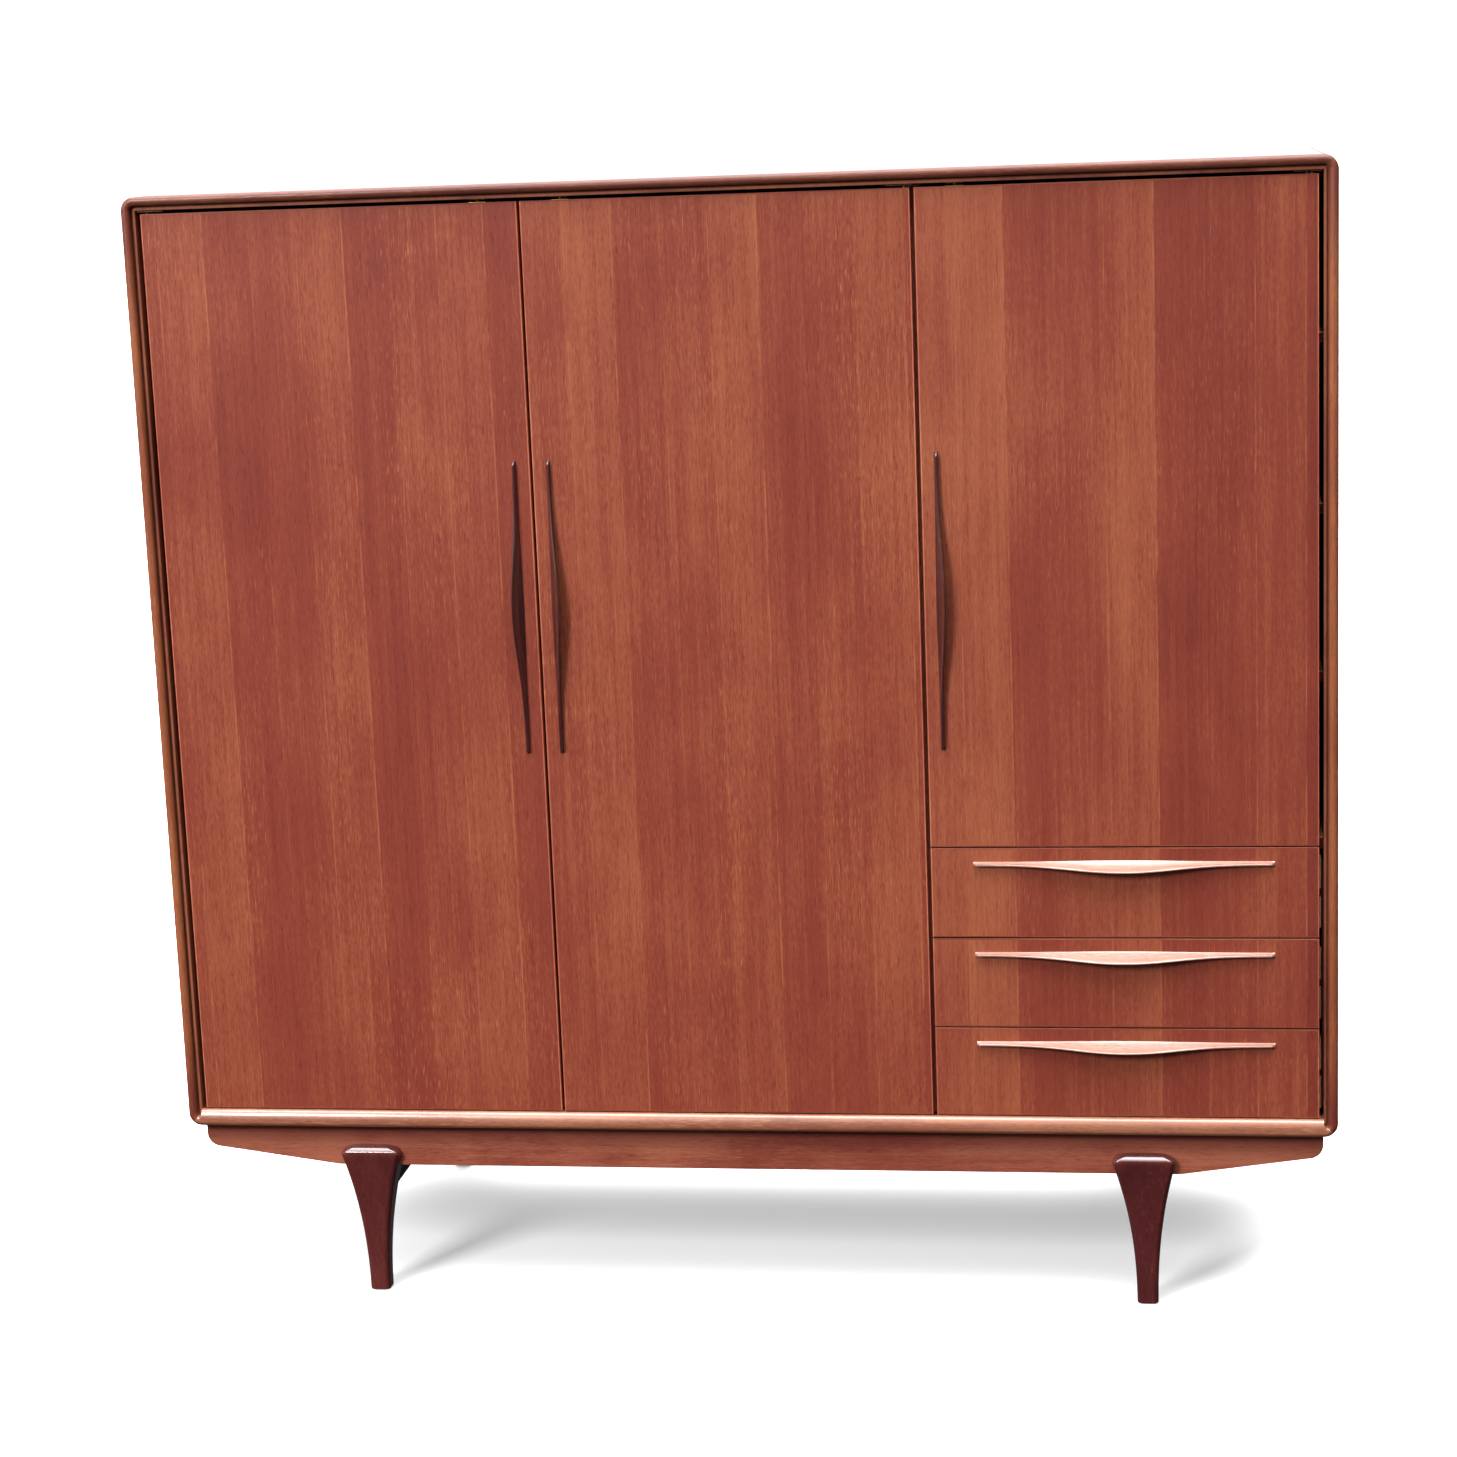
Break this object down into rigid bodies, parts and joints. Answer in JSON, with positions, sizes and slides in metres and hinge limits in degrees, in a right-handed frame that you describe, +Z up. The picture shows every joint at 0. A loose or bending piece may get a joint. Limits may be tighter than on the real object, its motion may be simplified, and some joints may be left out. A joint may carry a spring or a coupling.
{
  "type": "three-door wardrobe",
  "caption": "Teak-veneered wardrobe on tapered legs, with pivot-hung doors over a hanging space and shelves, and drawers below the right door.",
  "frame": {"origin": "on the floor, under the middle of the bounding box", "axes": "+X along the width, to the right of someone facing the doors; -Y out of the front; +Z up"},
  "size_m": [1.8, 0.6614, 1.745],
  "materials": {
    "teak_veneer": "reddish teak veneer, satin oiled, vertical grain in matched leaves",
    "solid_teak": "solid teak, satin oiled",
    "stand_teak": "dark solid teak, satin oiled",
    "light_lining": "pale beech and limba lining, matt lacquer",
    "runner_beech": "waxed beech",
    "plywood": "thin birch plywood, matt",
    "brass": "aged satin brass"
  },
  "bodies": {
    "cabinet": {"side_panel_left": "teak_veneer", "side_panel_right": "teak_veneer", "top_panel": "teak_veneer", "bottom_panel": "teak_veneer", "partition": "light_lining", "back_panel_left": "plywood", "back_panel_right": "plywood", "frame_top": "solid_teak", "frame_bottom": "solid_teak", "frame_left": "solid_teak", "frame_right": "solid_teak", "drawer_deck": "light_lining", "shelf_lower": "light_lining", "shelf_middle": "light_lining", "shelf_upper": "light_lining", "hat_shelf": "light_lining", "hanging_rail": "brass", "rail_socket_left": "brass", "rail_socket_right": "brass", "drawer_runners_left": "runner_beech", "drawer_runners_right": "runner_beech", "pivot_left_lower": "brass", "pivot_left_upper": "brass", "pivot_middle_lower": "brass", "pivot_middle_upper": "brass", "pivot_right_lower": "brass", "pivot_right_upper": "brass", "apron_front": "stand_teak", "apron_rear": "stand_teak", "side_rail_left": "stand_teak", "side_rail_right": "stand_teak", "leg_front_left": "stand_teak", "leg_front_right": "stand_teak", "leg_rear_left": "stand_teak", "leg_rear_right": "stand_teak"},
    "left_door": {"door_left": "teak_veneer", "door_left_handle": "solid_teak"},
    "middle_door": {"door_middle": "teak_veneer", "door_middle_handle": "solid_teak"},
    "right_door": {"door_right": "teak_veneer", "door_right_handle": "solid_teak"},
    "upper_drawer": {"drawer_upper_front": "teak_veneer", "drawer_upper_handle": "solid_teak", "drawer_upper_side_left": "light_lining", "drawer_upper_side_right": "light_lining", "drawer_upper_back": "light_lining", "drawer_upper_base": "plywood"},
    "middle_drawer": {"drawer_middle_front": "teak_veneer", "drawer_middle_handle": "solid_teak", "drawer_middle_side_left": "light_lining", "drawer_middle_side_right": "light_lining", "drawer_middle_back": "light_lining", "drawer_middle_base": "plywood"},
    "lower_drawer": {"drawer_lower_front": "teak_veneer", "drawer_lower_handle": "solid_teak", "drawer_lower_side_left": "light_lining", "drawer_lower_side_right": "light_lining", "drawer_lower_back": "light_lining", "drawer_lower_base": "plywood"}
  },
  "joints": [
    {"name": "left_door_hinge", "type": "hinge", "parent": "cabinet", "child": "left_door", "pos_m": [-0.863, -0.29935, 0.312], "axis": [0, 0, -1], "range_deg": [0, 105]},
    {"name": "middle_door_hinge", "type": "hinge", "parent": "cabinet", "child": "middle_door", "pos_m": [0.28013, -0.29935, 0.312], "axis": [0, 0, 1], "range_deg": [0, 90]},
    {"name": "right_door_hinge", "type": "hinge", "parent": "cabinet", "child": "right_door", "pos_m": [0.863, -0.29935, 0.7353], "axis": [0, 0, 1], "range_deg": [0, 105]},
    {"name": "upper_drawer_slide", "type": "slide", "parent": "cabinet", "child": "upper_drawer", "axis": [0, -1, 0], "range_m": [0, 0.38]},
    {"name": "middle_drawer_slide", "type": "slide", "parent": "cabinet", "child": "middle_drawer", "axis": [0, -1, 0], "range_m": [0, 0.38]},
    {"name": "lower_drawer_slide", "type": "slide", "parent": "cabinet", "child": "lower_drawer", "axis": [0, -1, 0], "range_m": [0, 0.38]}
  ]
}
